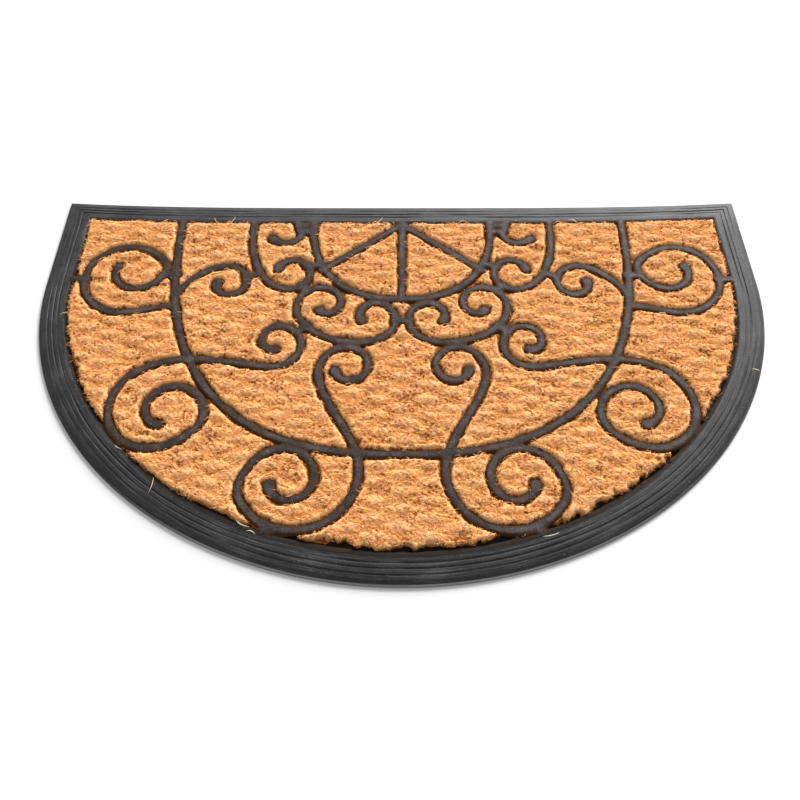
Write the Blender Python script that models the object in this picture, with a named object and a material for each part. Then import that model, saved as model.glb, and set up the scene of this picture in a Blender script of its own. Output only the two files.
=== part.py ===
"""Half-round coir doormat: a woven coir panel held in a moulded rubber rim with raised scrollwork.

Units are metres. The origin is on the floor under the middle of the mat, +X runs along the straight
back edge, +Y points to that edge and +Z is up. The tables below are in millimetres.
"""
import math

import bmesh
import bpy
import numpy as np

MM = 0.001

# The mat in plan: a straight back edge, two short straight sides and a half-elliptical front
HALF_WIDTH = 375.0
BACK_CORNER_Y = 225.0
FRONT_Y = -225.0
SIDE_END_Y = 106.0
BACK_DIP = 7.5
BACK_DIP_POWER = 3.5
OUTLINE_TOLERANCE = 0.35
BACK_STATIONS = 8

# Points on each dense curve before it is thinned out
DENSE_POINTS = 400

# The rubber moulding
BACKING_HEIGHT = 2.5
RIM_WIDTH = 29.5
GROOVE_HALF_WIDTH = 0.7
GROOVE_DEPTH = 0.9
GROOVE_LIP_RISE = 0.1

# Rim section from its outer edge inwards: distance in, height of the surface, 1 where a groove runs
RIM_SECTION = (
    # inset, height, groove
    (0.0, 2.2, 0),
    (2.2, 2.8, 0),
    (3.2, 3.8, 0),
    (9.3, 5.7, 1),
    (14.6, 6.6, 1),
    (19.4, 7.2, 1),
    (28.7, 8.0, 0),
    (RIM_WIDTH, 7.6, 0),
)

# The raised bars, which bridge the coir and join the rim
BAR_HALF_WIDTH = 4.6
BAR_CREST_HALF_WIDTH = 3.4
BAR_BOTTOM = 5.4
BAR_TOP = 8.8
BAR_TOLERANCE = 0.45
BAR_SHORTEST_STEP = 3.0
RIM_OVERLAP_Y = 196.0

# The coir panel
COIR_TOP = 10.5
FIT_GAP = 0.3
SLOT_CUTTER_RISE = 1.0
WELD_DISTANCE = 1e-6

# Two arches hang from the back rim, symmetric about the middle: superellipses
ARCHES = (
    # half width, springing y, lowest y, power
    (242.0, 190.0, -102.0, 2.6),
    (97.0, 190.0, 80.0, 2.4),
)

# Left half of the scrollwork. A turn is a spiral piece about its own centre, its radius growing evenly
# with the angle. A point has a heading. Easy curves link each row to the next.
TURN = "turn"
POINT = "point"
SCROLLS = {
    "side volute": (
        # kind, centre x, centre y, first radius, last radius, first angle, last angle
        (TURN, -284, 121, 16.7, 34, 168, 355),
        (TURN, -289, 112, 39, 49, 440, 620),
        (POINT, -239, 71, 5),
    ),
    "long scroll": (
        (TURN, -125.5, 25, 9, 31, -95, -465),
        (TURN, -230, -53, 51, 43, 120, 260),
        (TURN, -222, -56, 35, 15.5, 355, 607),
    ),
    "stem scroll": (
        (TURN, -53, -5, 13, 26, -160, 150),
        (TURN, -97, -121, 58, 54, 10, -150),
        (TURN, -105, -128, 35, 15, -220, -520),
    ),
    "c scroll": (
        (TURN, -80, 73, 9, 30, -120, 210),
        (TURN, -30, 56, 27, 12, -65, 200),
    ),
    "sprig": (
        (TURN, -182, 102, 12, 22, 175, 435),
        (POINT, -235, 84, 250),
    ),
    "hanging scroll": (
        # kind, x, y, heading
        (POINT, -163, RIM_OVERLAP_Y, 270),
        (POINT, -162, 170, 270),
        (TURN, -117, 116, 23, 15, -105, 160),
    ),
    "hook": (
        (POINT, -116, RIM_OVERLAP_Y, 280),
        (TURN, -119, 177, 8, 24.8, -10, -150),
    ),
    "fan ray": (
        (POINT, -2, 184, 218),
        (POINT, -85, 119, 218),
    ),
}

# Short ties between neighbouring scrolls: one across the middle, the others in the left half
MIDDLE_TIE = (-8, 52, 8, 52)
TIES = (
    # from x, from y, to x, to y
    (-331, 107, -349, 107),
    (-253, 112, -237, 112),
    (-107, 37, -96, 46),
    (-99, 89, -106, 99),
    (-164, 110, -150, 115),
    (-101, 124, -86, 128),
    (-111, 175, -96, 175),
    (-111, 184, -96, 184),
    (-117, -172, -122, -184),
)

COLLECTION_NAME = "coir_doormat"


def clear_scene():
    for scene_object in list(bpy.data.objects):
        bpy.data.objects.remove(scene_object, do_unlink=True)


def new_collection(name):
    collection = bpy.data.collections.new(name)
    bpy.context.scene.collection.children.link(collection)
    return collection


def principled(name, colour, roughness):
    material = bpy.data.materials.new(name)
    material.use_nodes = True
    shader = material.node_tree.nodes["Principled BSDF"]
    shader.inputs["Base Color"].default_value = (*colour, 1.0)
    shader.inputs["Roughness"].default_value = roughness
    shader.inputs["Metallic"].default_value = 0.0
    return material


def mesh_object(name, bm, collection, material=None):
    mesh = bpy.data.meshes.new(name)
    bm.to_mesh(mesh)
    bm.free()
    if material is not None:
        mesh.materials.append(material)
    result = bpy.data.objects.new(name, mesh)
    collection.objects.link(result)
    return result


# Plan curves

def thin_out(points, tolerance, shortest_step=0.0):
    """Drop points of a dense line while every dropped one stays within the tolerance of its chord."""
    kept = [0]
    reach = 2
    while reach < len(points):
        start = points[kept[-1]]
        chord = points[reach] - start
        length = math.hypot(*chord)
        between = points[kept[-1] + 1:reach] - start
        offsets = np.abs(between[:, 0] * chord[1] - between[:, 1] * chord[0]) / length
        if offsets.max() > tolerance:
            kept.append(reach - 1)
        reach += 1
    if math.dist(points[kept[-1]], points[-1]) < shortest_step:
        kept.pop()
    kept.append(len(points) - 1)
    return points[kept]


def front_angles():
    """Angles of the front half-ellipse's stations, the same for every inset ring and symmetric."""
    angles = np.linspace(math.pi, 1.5 * math.pi, DENSE_POINTS)
    front_radius = SIDE_END_Y - FRONT_Y
    quarter = np.column_stack((HALF_WIDTH * np.cos(angles), front_radius * np.sin(angles)))
    stations = thin_out(quarter, OUTLINE_TOLERANCE)
    left = np.arctan2(stations[:, 1] / front_radius, stations[:, 0] / HALF_WIDTH) % (2.0 * math.pi)
    right = 3.0 * math.pi - left[-2::-1]
    return np.concatenate((left, right))


def mat_outline(inset):
    """Points round the mat, counter-clockwise, the given distance inside its outer edge."""
    half_width = HALF_WIDTH - inset
    front_radius = SIDE_END_Y - FRONT_Y - inset
    points = []
    for angle in front_angles():
        points.append((half_width * math.cos(angle), SIDE_END_Y + front_radius * math.sin(angle)))
    for station in range(BACK_STATIONS + 1):
        across = 1.0 - 2.0 * station / BACK_STATIONS
        dip = BACK_DIP * (1.0 - abs(across) ** BACK_DIP_POWER)
        points.append((half_width * across, BACK_CORNER_Y - dip - inset))
    return points


def unit(vector):
    return vector / np.linalg.norm(vector)


def turn_line(turn):
    """Dense points of a spiral piece, with its first and last unit headings."""
    centre_x, centre_y, first_radius, last_radius, first_angle, last_angle = turn
    angles = np.radians(np.linspace(first_angle, last_angle, DENSE_POINTS))
    radii = np.linspace(first_radius, last_radius, DENSE_POINTS)
    line = np.column_stack((centre_x + radii * np.cos(angles), centre_y + radii * np.sin(angles)))
    return line, unit(line[1] - line[0]), unit(line[-1] - line[-2])


def easy_curve(start, start_heading, end, end_heading):
    """Hermite curve between two headings, without its two end points."""
    along = np.linspace(0.0, 1.0, DENSE_POINTS)[1:-1, None]
    reach = np.linalg.norm(end - start)
    return ((2 * along ** 3 - 3 * along ** 2 + 1) * start
            + (along ** 3 - 2 * along ** 2 + along) * reach * start_heading
            + (3 * along ** 2 - 2 * along ** 3) * end
            + (along ** 3 - along ** 2) * reach * end_heading)


def scroll_line(rows):
    """Centre line of one scroll, densely."""
    pieces = []
    last_heading = None
    for kind, *values in rows:
        if kind == TURN:
            line, heading_in, heading_out = turn_line(values)
        else:
            x, y, heading = values
            line = np.array([[x, y]], dtype=float)
            heading_in = np.array([math.cos(math.radians(heading)), math.sin(math.radians(heading))])
            heading_out = heading_in
        if pieces:
            pieces.append(easy_curve(pieces[-1][-1], last_heading, line[0], heading_in))
        pieces.append(line)
        last_heading = heading_out
    return np.vstack(pieces)


def arch_line(half_width, springing_y, lowest_y, power):
    angles = np.linspace(math.pi, 0.0, DENSE_POINTS)
    x = half_width * np.sign(np.cos(angles)) * np.abs(np.cos(angles)) ** (2.0 / power)
    y = springing_y - (springing_y - lowest_y) * np.abs(np.sin(angles)) ** (2.0 / power)
    ends = np.array([[-half_width, RIM_OVERLAP_Y], [half_width, RIM_OVERLAP_Y]])
    return np.vstack((ends[:1], np.column_stack((x, y)), ends[1:]))


def tie_line(tie):
    from_x, from_y, to_x, to_y = tie
    return np.array([[from_x, from_y], [to_x, to_y]], dtype=float)


def bar_lines():
    """Centre lines of every bar of the scrollwork, both halves."""
    fan_foot = ARCHES[1][2]
    full_lines = [thin_out(arch_line(*arch), BAR_TOLERANCE, BAR_SHORTEST_STEP) for arch in ARCHES]
    full_lines.append(tie_line((0.0, RIM_OVERLAP_Y, 0.0, fan_foot)))
    full_lines.append(tie_line(MIDDLE_TIE))
    left_lines = []
    for rows in SCROLLS.values():
        left_lines.append(thin_out(scroll_line(rows), BAR_TOLERANCE, BAR_SHORTEST_STEP))
    for tie in TIES:
        left_lines.append(tie_line(tie))
    right_lines = [line * (-1.0, 1.0) for line in left_lines]
    return full_lines + left_lines + right_lines


def lengthened(line, extra):
    """The same line with both ends moved outwards."""
    result = line.copy()
    for end, inner in ((0, 1), (-1, -2)):
        result[end] += extra * unit(line[end] - line[inner])
    return result


# Swept bars

def section_curve(name, corners):
    """Closed section for a sweep: x runs across the bar and y upwards."""
    curve = bpy.data.curves.new(name, "CURVE")
    spline = curve.splines.new("POLY")
    spline.points.add(len(corners) - 1)
    for point, (across, up) in zip(spline.points, corners):
        point.co = (across * MM, up * MM, 0.0, 1.0)
    spline.use_cyclic_u = True
    section = bpy.data.objects.new(name, curve)
    bpy.context.scene.collection.objects.link(section)
    return section


def sweep(name, line, section, collection):
    """Run a section along a plan line and keep the result as a closed mesh."""
    curve = bpy.data.curves.new(name, "CURVE")
    curve.dimensions = "3D"
    curve.twist_mode = "Z_UP"
    curve.bevel_mode = "OBJECT"
    curve.bevel_object = section
    curve.use_fill_caps = True
    spline = curve.splines.new("POLY")
    spline.points.add(len(line) - 1)
    for point, (x, y) in zip(spline.points, line):
        point.co = (x * MM, y * MM, 0.0, 1.0)
    path = bpy.data.objects.new(name, curve)
    bpy.context.scene.collection.objects.link(path)
    bpy.context.view_layer.update()
    evaluated = path.evaluated_get(bpy.context.evaluated_depsgraph_get())
    mesh = bpy.data.meshes.new_from_object(evaluated)
    bm = bmesh.new()
    bm.from_mesh(mesh)
    bmesh.ops.remove_doubles(bm, verts=bm.verts, dist=WELD_DISTANCE)
    bmesh.ops.recalc_face_normals(bm, faces=bm.faces)
    bar = mesh_object(name, bm, collection)
    bar.matrix_world = path.matrix_world
    bar.hide_render = True
    bar.display_type = "WIRE"
    bpy.data.objects.remove(path, do_unlink=True)
    bpy.data.meshes.remove(mesh)


def bar_corners():
    return (
        (-BAR_HALF_WIDTH, BAR_BOTTOM),
        (BAR_HALF_WIDTH, BAR_BOTTOM),
        (BAR_CREST_HALF_WIDTH, BAR_TOP),
        (-BAR_CREST_HALF_WIDTH, BAR_TOP),
    )


def slot_corners():
    half_width = BAR_HALF_WIDTH + FIT_GAP
    above = COIR_TOP + SLOT_CUTTER_RISE
    return (
        (-half_width, BAR_BOTTOM - FIT_GAP),
        (half_width, BAR_BOTTOM - FIT_GAP),
        (half_width, above),
        (-half_width, above),
    )


def sweep_all(name, corners, lines, collection):
    section = section_curve(name + "_section", corners)
    for number, line in enumerate(lines):
        sweep(f"{name}_{number:02d}", line, section, collection)
    bpy.data.objects.remove(section, do_unlink=True)


# Lofted bodies

def loft(rings):
    """Closed body through rings with matching points, the first ring below and the last one on top."""
    bm = bmesh.new()
    rows = []
    for outline, height in rings:
        rows.append([bm.verts.new((x * MM, y * MM, height * MM)) for x, y in outline])
    for lower, upper in zip(rows, rows[1:]):
        for here in range(len(lower)):
            after = (here + 1) % len(lower)
            bm.faces.new((lower[here], lower[after], upper[after], upper[here]))
    bm.faces.new(list(reversed(rows[0])))
    bm.faces.new(rows[-1])
    bmesh.ops.recalc_face_normals(bm, faces=bm.faces)
    return bm


def rim_rings():
    """Rings of the moulding: its flat underside, the rim's section, then the sheet inside the rim."""
    rings = [(mat_outline(0.0), 0.0)]
    for inset, height, grooved in RIM_SECTION:
        if grooved:
            rings.append((mat_outline(inset - GROOVE_HALF_WIDTH), height - GROOVE_LIP_RISE))
            rings.append((mat_outline(inset), height - GROOVE_DEPTH))
            rings.append((mat_outline(inset + GROOVE_HALF_WIDTH), height + GROOVE_LIP_RISE))
        else:
            rings.append((mat_outline(inset), height))
    rings.append((mat_outline(RIM_WIDTH), BACKING_HEIGHT))
    return rings


def boolean(target, operation, collection):
    """Join a body with all the bars of a collection, or cut them out of it."""
    modifier = target.modifiers.new(operation.lower(), "BOOLEAN")
    modifier.operation = operation
    modifier.operand_type = "COLLECTION"
    modifier.collection = collection
    modifier.solver = "EXACT"


def rubber_moulding(parts, bars):
    rubber = principled("black_rubber", (0.055, 0.054, 0.056), 0.62)
    moulding = mesh_object("rubber_moulding", loft(rim_rings()), parts, rubber)
    boolean(moulding, "UNION", bars)


def coir_panel(parts, slots):
    coir = principled("coir", (0.72, 0.36, 0.14), 0.95)
    outline = mat_outline(RIM_WIDTH + FIT_GAP)
    rings = [(outline, BACKING_HEIGHT + FIT_GAP), (outline, COIR_TOP)]
    panel = mesh_object("coir_panel", loft(rings), parts, coir)
    boolean(panel, "DIFFERENCE", slots)


def main():
    clear_scene()
    parts = new_collection(COLLECTION_NAME)
    bars = new_collection("raised_bars")
    slots = new_collection("bar_slots")
    lines = bar_lines()
    sweep_all("bar", bar_corners(), lines, bars)
    sweep_all("slot", slot_corners(), [lengthened(line, FIT_GAP) for line in lines], slots)
    rubber_moulding(parts, bars)
    coir_panel(parts, slots)


main()
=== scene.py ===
import math
from collections import Counter

import bmesh
import bpy
import numpy as np
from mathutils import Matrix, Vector
from mathutils.geometry import delaunay_2d_cdt


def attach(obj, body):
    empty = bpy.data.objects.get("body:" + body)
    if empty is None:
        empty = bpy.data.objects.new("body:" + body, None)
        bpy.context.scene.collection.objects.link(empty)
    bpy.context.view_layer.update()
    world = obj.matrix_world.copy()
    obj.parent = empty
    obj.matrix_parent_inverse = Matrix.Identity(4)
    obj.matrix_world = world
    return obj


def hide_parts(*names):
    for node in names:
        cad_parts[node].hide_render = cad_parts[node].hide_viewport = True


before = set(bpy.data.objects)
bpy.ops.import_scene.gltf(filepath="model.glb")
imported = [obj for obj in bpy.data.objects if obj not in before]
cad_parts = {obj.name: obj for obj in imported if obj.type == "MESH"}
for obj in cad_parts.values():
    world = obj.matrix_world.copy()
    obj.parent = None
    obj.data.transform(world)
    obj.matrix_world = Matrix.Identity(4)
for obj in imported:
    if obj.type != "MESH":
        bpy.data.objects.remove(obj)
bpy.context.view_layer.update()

MM = 0.001
BODY = "root"


# Camera

CAMERA_PLACE = (-0.0019, -0.45087, 0.6501)
CAMERA_TILT_DEGREES = 32.4
CAMERA_LENS = 36.0
CAMERA_SENSOR = 36.0


def make_camera():
    data = bpy.data.cameras.new("camera")
    data.lens = CAMERA_LENS
    data.sensor_width = CAMERA_SENSOR
    data.clip_start = 0.01
    camera = bpy.data.objects.new("camera", data)
    camera.location = CAMERA_PLACE
    camera.rotation_euler = (math.radians(CAMERA_TILT_DEGREES), 0.0, 0.0)
    bpy.context.scene.collection.objects.link(camera)
    bpy.context.scene.camera = camera


make_camera()


# The mat in plan, in millimetres, as the solids have it

HALF_WIDTH = 375.0
BACK_CORNER_Y = 225.0
FRONT_Y = -225.0
SIDE_END_Y = 106.0
BACK_DIP = 7.5
BACK_DIP_POWER = 3.5
RIM_WIDTH = 29.5
BACKING_HEIGHT = 2.5
BAR_HALF_WIDTH = 4.6
BAR_BOTTOM = 5.4
BAR_TOP = 8.8
RIM_OVERLAP_Y = 196.0
COIR_TOP = 10.5

# Points on each dense curve, places on the straight sides past the end of the curved front, and a guard
# against dividing by nought
DENSE_POINTS = 400
SIDE_STEPS = (20.0, 40.0, 60.0, 80.0)
LEAST_SLOPE = 1e-6

# The two arches of the scrollwork are superellipses, symmetric about the middle
ARCHES = (
    # half width, springing y, lowest y, power
    (242.0, 190.0, -102.0, 2.6),
    (97.0, 190.0, 80.0, 2.4),
)

# Left half of the scrollwork. A turn is a spiral piece about its own centre, its radius growing evenly
# with the angle. A point has a heading. Easy curves link each row to the next.
TURN = "turn"
POINT = "point"
SCROLLS = {
    "side volute": (
        # kind, centre x, centre y, first radius, last radius, first angle, last angle
        (TURN, -284, 121, 16.7, 34, 168, 355),
        (TURN, -289, 112, 39, 49, 440, 620),
        (POINT, -239, 71, 5),
    ),
    "long scroll": (
        (TURN, -125.5, 25, 9, 31, -95, -465),
        (TURN, -230, -53, 51, 43, 120, 260),
        (TURN, -222, -56, 35, 15.5, 355, 607),
    ),
    "stem scroll": (
        (TURN, -53, -5, 13, 26, -160, 150),
        (TURN, -97, -121, 58, 54, 10, -150),
        (TURN, -105, -128, 35, 15, -220, -520),
    ),
    "c scroll": (
        (TURN, -80, 73, 9, 30, -120, 210),
        (TURN, -30, 56, 27, 12, -65, 200),
    ),
    "sprig": (
        (TURN, -182, 102, 12, 22, 175, 435),
        (POINT, -235, 84, 250),
    ),
    "hanging scroll": (
        # kind, x, y, heading
        (POINT, -163, RIM_OVERLAP_Y, 270),
        (POINT, -162, 170, 270),
        (TURN, -117, 116, 23, 15, -105, 160),
    ),
    "hook": (
        (POINT, -116, RIM_OVERLAP_Y, 280),
        (TURN, -119, 177, 8, 24.8, -10, -150),
    ),
    "fan ray": (
        (POINT, -2, 184, 218),
        (POINT, -85, 119, 218),
    ),
}

# Short straight bars that tie neighbouring strokes together
MIDDLE_TIE = (-8, 52, 8, 52)
TIES = (
    # from x, from y, to x, to y
    (-331, 107, -349, 107),
    (-253, 112, -237, 112),
    (-107, 37, -96, 46),
    (-99, 89, -106, 99),
    (-164, 110, -150, 115),
    (-101, 124, -86, 128),
    (-111, 175, -96, 175),
    (-111, 184, -96, 184),
    (-117, -172, -122, -184),
)


def unit(vector):
    return vector / np.linalg.norm(vector)


def turn_line(turn):
    """Points of a spiral piece and its headings at both ends."""
    centre_x, centre_y, first_radius, last_radius, first_angle, last_angle = turn
    angles = np.radians(np.linspace(first_angle, last_angle, DENSE_POINTS))
    radii = np.linspace(first_radius, last_radius, DENSE_POINTS)
    line = np.column_stack((centre_x + radii * np.cos(angles), centre_y + radii * np.sin(angles)))
    return line, unit(line[1] - line[0]), unit(line[-1] - line[-2])


def easy_curve(start, start_heading, end, end_heading):
    """Points between two ends of a curve that leaves and arrives along the headings."""
    along = np.linspace(0.0, 1.0, DENSE_POINTS)[1:-1, None]
    reach = np.linalg.norm(end - start)
    return ((2 * along ** 3 - 3 * along ** 2 + 1) * start
            + (along ** 3 - 2 * along ** 2 + along) * reach * start_heading
            + (3 * along ** 2 - 2 * along ** 3) * end
            + (along ** 3 - along ** 2) * reach * end_heading)


def scroll_line(rows):
    """Centre line of one stroke."""
    pieces = []
    last_heading = None
    for kind, *values in rows:
        if kind == TURN:
            line, heading_in, heading_out = turn_line(values)
        else:
            x, y, heading = values
            line = np.array([[x, y]], dtype=float)
            heading_in = np.array([math.cos(math.radians(heading)), math.sin(math.radians(heading))])
            heading_out = heading_in
        if pieces:
            pieces.append(easy_curve(pieces[-1][-1], last_heading, line[0], heading_in))
        pieces.append(line)
        last_heading = heading_out
    return np.vstack(pieces)


def arch_line(half_width, springing_y, lowest_y, power):
    angles = np.linspace(math.pi, 0.0, DENSE_POINTS)
    x = half_width * np.sign(np.cos(angles)) * np.abs(np.cos(angles)) ** (2.0 / power)
    y = springing_y - (springing_y - lowest_y) * np.abs(np.sin(angles)) ** (2.0 / power)
    ends = np.array([[-half_width, RIM_OVERLAP_Y], [half_width, RIM_OVERLAP_Y]])
    return np.vstack((ends[:1], np.column_stack((x, y)), ends[1:]))


def tie_line(tie):
    from_x, from_y, to_x, to_y = tie
    return np.array([[from_x, from_y], [to_x, to_y]], dtype=float)


def bar_lines():
    """Centre lines of every bar of the scrollwork, both halves."""
    fan_foot = ARCHES[1][2]
    full_lines = [arch_line(*arch) for arch in ARCHES]
    full_lines.append(tie_line((0.0, RIM_OVERLAP_Y, 0.0, fan_foot)))
    full_lines.append(tie_line(MIDDLE_TIE))
    left_lines = [scroll_line(rows) for rows in SCROLLS.values()]
    left_lines += [tie_line(tie) for tie in TIES]
    return full_lines + left_lines + [line * (-1.0, 1.0) for line in left_lines]


def back_edge_y(x):
    """Height in plan of the mat's slightly hollow back edge."""
    return BACK_CORNER_Y - BACK_DIP * (1.0 - np.abs(x / HALF_WIDTH) ** BACK_DIP_POWER)


def mat_outline(inset, front_stations, back_stations):
    """Points round the mat, counter-clockwise, the given distance inside its outer edge."""
    half_width = HALF_WIDTH - inset
    front_radius = SIDE_END_Y - FRONT_Y - inset
    angles = np.linspace(math.pi, 2.0 * math.pi, front_stations)
    front = np.column_stack((half_width * np.cos(angles), SIDE_END_Y + front_radius * np.sin(angles)))
    right_side = np.array([[half_width, SIDE_END_Y + step] for step in SIDE_STEPS])
    across = np.linspace(1.0, -1.0, back_stations)
    back_y = back_edge_y(HALF_WIDTH * across) - inset
    back = np.column_stack((half_width * across, back_y))
    left_side = right_side[::-1] * (-1.0, 1.0)
    return np.vstack((front, right_side, back, left_side))


def rim_gap(x, y):
    """Distance from the inner wall of the rim, positive over the coir."""
    half_width = HALF_WIDTH - RIM_WIDTH
    front_radius = SIDE_END_Y - FRONT_Y - RIM_WIDTH
    down = np.minimum(y - SIDE_END_Y, 0.0)
    share = np.hypot(x / half_width, down / front_radius)
    slope = np.hypot(x / half_width ** 2, down / front_radius ** 2)
    sides = share * (1.0 - share) / np.maximum(slope, LEAST_SLOPE)
    back = back_edge_y(x) - RIM_WIDTH - y
    return np.minimum(sides, back)


# Smooth random fields over the plan

LATTICE_CELLS = 256


def soft_noise(x, y, size, seed):
    """Smooth random numbers from -1 to 1 whose bumps are about the given size."""
    lattice = np.random.default_rng(seed).uniform(-1.0, 1.0, (LATTICE_CELLS + 1, LATTICE_CELLS + 1))
    u = (x / size) % LATTICE_CELLS
    v = (y / size) % LATTICE_CELLS
    column = np.floor(u).astype(int)
    row = np.floor(v).astype(int)
    u = u - column
    v = v - row
    u = u * u * (3.0 - 2.0 * u)
    v = v * v * (3.0 - 2.0 * v)
    low = lattice[column, row] * (1.0 - u) + lattice[column + 1, row] * u
    high = lattice[column, row + 1] * (1.0 - u) + lattice[column + 1, row + 1] * u
    return low * (1.0 - v) + high * v


# Distance from the bars

WEB_SHARPNESS = 0.9
BAR_REACH = 13.0
EYE_SWELLING = 1.5
EYE_SWELLING_LENGTH = 6.5
FREE_END_DISTANCE = 8.0
BAR_SAMPLE_STEP = 0.8
BAR_UNEVENNESS = 0.55
BAR_UNEVENNESS_SIZE = 12.0
BAR_UNEVENNESS_SEED = 5
FAR_AWAY = 3.0 * BAR_REACH


def evenly_spaced(line, step):
    lengths = np.concatenate(([0.0], np.cumsum(np.hypot(*np.diff(line, axis=0).T))))
    places = np.linspace(0.0, lengths[-1], int(lengths[-1] / step) + 2)
    return np.column_stack([np.interp(places, lengths, line[:, axis]) for axis in (0, 1)])


def swollen_eyes(points, others):
    """Extra half width along a bar, where it ends free in the coir."""
    swelling = np.zeros(len(points))
    for end in (points[0], points[-1]):
        to_others = min(np.hypot(*(other - end).T).min() for other in others)
        if to_others > FREE_END_DISTANCE and rim_gap(*end) > FREE_END_DISTANCE:
            from_end = np.hypot(*(points - end).T)
            swelling += EYE_SWELLING * np.exp(-(from_end / EYE_SWELLING_LENGTH) ** 2)
    return swelling


class PlanGrid:
    """Square grid over the mat whose knots know their distance from the bars and from the rim."""

    def __init__(self, spacing):
        self.spacing = spacing
        half_columns = int(HALF_WIDTH / spacing)
        half_rows = int(BACK_CORNER_Y / spacing)
        self.columns = np.arange(-half_columns, half_columns + 1) * spacing
        self.rows = np.arange(-half_rows, half_rows + 1) * spacing
        self.x, self.y = np.meshgrid(self.columns, self.rows, indexing="ij")
        self.rim = rim_gap(self.x, self.y)
        self.bars = self.bar_gap()

    def bar_gap(self):
        """Distance outside the bars, negative over them. Bars that come close flow into each other."""
        reach = int(BAR_REACH / self.spacing) + 1
        window = np.arange(-reach, reach + 1)
        step_x, step_y = (steps.ravel() for steps in np.meshgrid(window, window, indexing="ij"))
        blended = np.zeros(self.x.shape)
        lines = [evenly_spaced(line, BAR_SAMPLE_STEP) for line in bar_lines()]
        for number, points in enumerate(lines):
            swelling = swollen_eyes(points, lines[:number] + lines[number + 1:])
            column = np.rint((points[:, :1] - self.columns[0]) / self.spacing).astype(int) + step_x
            row = np.rint((points[:, 1:] - self.rows[0]) / self.spacing).astype(int) + step_y
            column = np.clip(column, 0, len(self.columns) - 1)
            row = np.clip(row, 0, len(self.rows) - 1)
            away = np.hypot(self.columns[column] - points[:, :1], self.rows[row] - points[:, 1:])
            nearest = np.full(self.x.shape, FAR_AWAY)
            np.minimum.at(nearest, (column, row), away - swelling[:, None])
            blended += np.exp(-WEB_SHARPNESS * nearest)
        blended += np.exp(-WEB_SHARPNESS * (BAR_HALF_WIDTH + np.clip(self.rim, 0.0, None)))
        distance = -np.log(blended) / WEB_SHARPNESS
        uneven = soft_noise(self.x, self.y, BAR_UNEVENNESS_SIZE, BAR_UNEVENNESS_SEED)
        return distance - BAR_HALF_WIDTH - BAR_UNEVENNESS * uneven

    def on_edge(self, level):
        """The level as the snapped mesh has it: nought at the knots that were moved onto its edge."""
        return np.where(np.abs(level) < 0.5 * self.spacing, 0.0, level)


# Meshes from the fields

LEAST_STEEPNESS = 0.6
WITHIN_OUTLINE = 1
SAME_POINT = 1e-7


def clipped_mesh(name, grid, field, snap_to=None):
    """Flat mesh over the knots where a field is positive, with the knots at its edge moved onto it."""
    x = grid.x.copy()
    y = grid.y.copy()
    half_cell = 0.5 * grid.spacing
    levels = (field,) if snap_to is None else (snap_to, field)
    for level in levels:
        slope_x, slope_y = np.gradient(level, grid.spacing)
        steepness = np.maximum(slope_x ** 2 + slope_y ** 2, LEAST_STEEPNESS)
        move = np.where(np.abs(level) < half_cell, level, 0.0) / steepness
        x = x - move * slope_x
        y = y - move * slope_y
    kept = field > -half_cell
    inside = field > 0.0
    corners = ((0, 0), (1, 0), (1, 1), (0, 1))
    size_x, size_y = field.shape
    numbers = np.arange(field.size).reshape(field.shape)

    def corner(values, number):
        column, row = corners[number]
        return values[column:size_x - 1 + column, row:size_y - 1 + row]

    count = sum(corner(kept, number).astype(int) for number in range(4))
    some_inside = np.logical_or.reduce([corner(inside, number) for number in range(4)])
    faces = []
    whole = (count == 4) & some_inside
    faces.extend(np.column_stack([corner(numbers, number)[whole] for number in range(4)]).tolist())
    for missing in range(4):
        three = (count == 3) & some_inside & ~corner(kept, missing)
        others = [number for number in range(4) if number != missing]
        faces.extend(np.column_stack([corner(numbers, number)[three] for number in others]).tolist())
    used = np.unique([number for face in faces for number in face])
    place = np.zeros(field.size, dtype=int)
    place[used] = np.arange(len(used))
    points = np.column_stack((x.ravel()[used], y.ravel()[used], np.zeros(len(used)))) * MM
    mesh = bpy.data.meshes.new(name)
    mesh.from_pydata(points.tolist(), [], [place[face].tolist() for face in faces])
    return mesh, used


def boundary_edges(bm):
    return [edge for edge in bm.edges if edge.is_boundary]


def open_pinches(bm):
    """Takes away the faces at points where the mesh only touches itself."""
    while True:
        ends = [vertex for edge in boundary_edges(bm) for vertex in edge.verts]
        pinched = [vertex for vertex, count in Counter(ends).items() if count > 2]
        if not pinched:
            return
        faces = dict.fromkeys(face for vertex in pinched for face in vertex.link_faces)
        bmesh.ops.delete(bm, geom=list(faces), context="FACES")


def triangle_sides(triangle):
    return zip(triangle, triangle[1:] + triangle[:1])


def left_of_lines(triangles, lines):
    """The triangles on the left of directed lines, reached without a step across any line."""
    owners = {side: triangle for triangle in triangles for side in triangle_sides(triangle)}
    barriers = set(lines)
    waiting = [owners[line] for line in lines if line in owners]
    kept = set()
    while waiting:
        triangle = waiting.pop()
        if triangle in kept:
            continue
        kept.add(triangle)
        for start, end in triangle_sides(triangle):
            if (start, end) not in barriers and (end, start) in owners:
                waiting.append(owners[end, start])
    return [triangle for triangle in triangles if triangle in kept]


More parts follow.
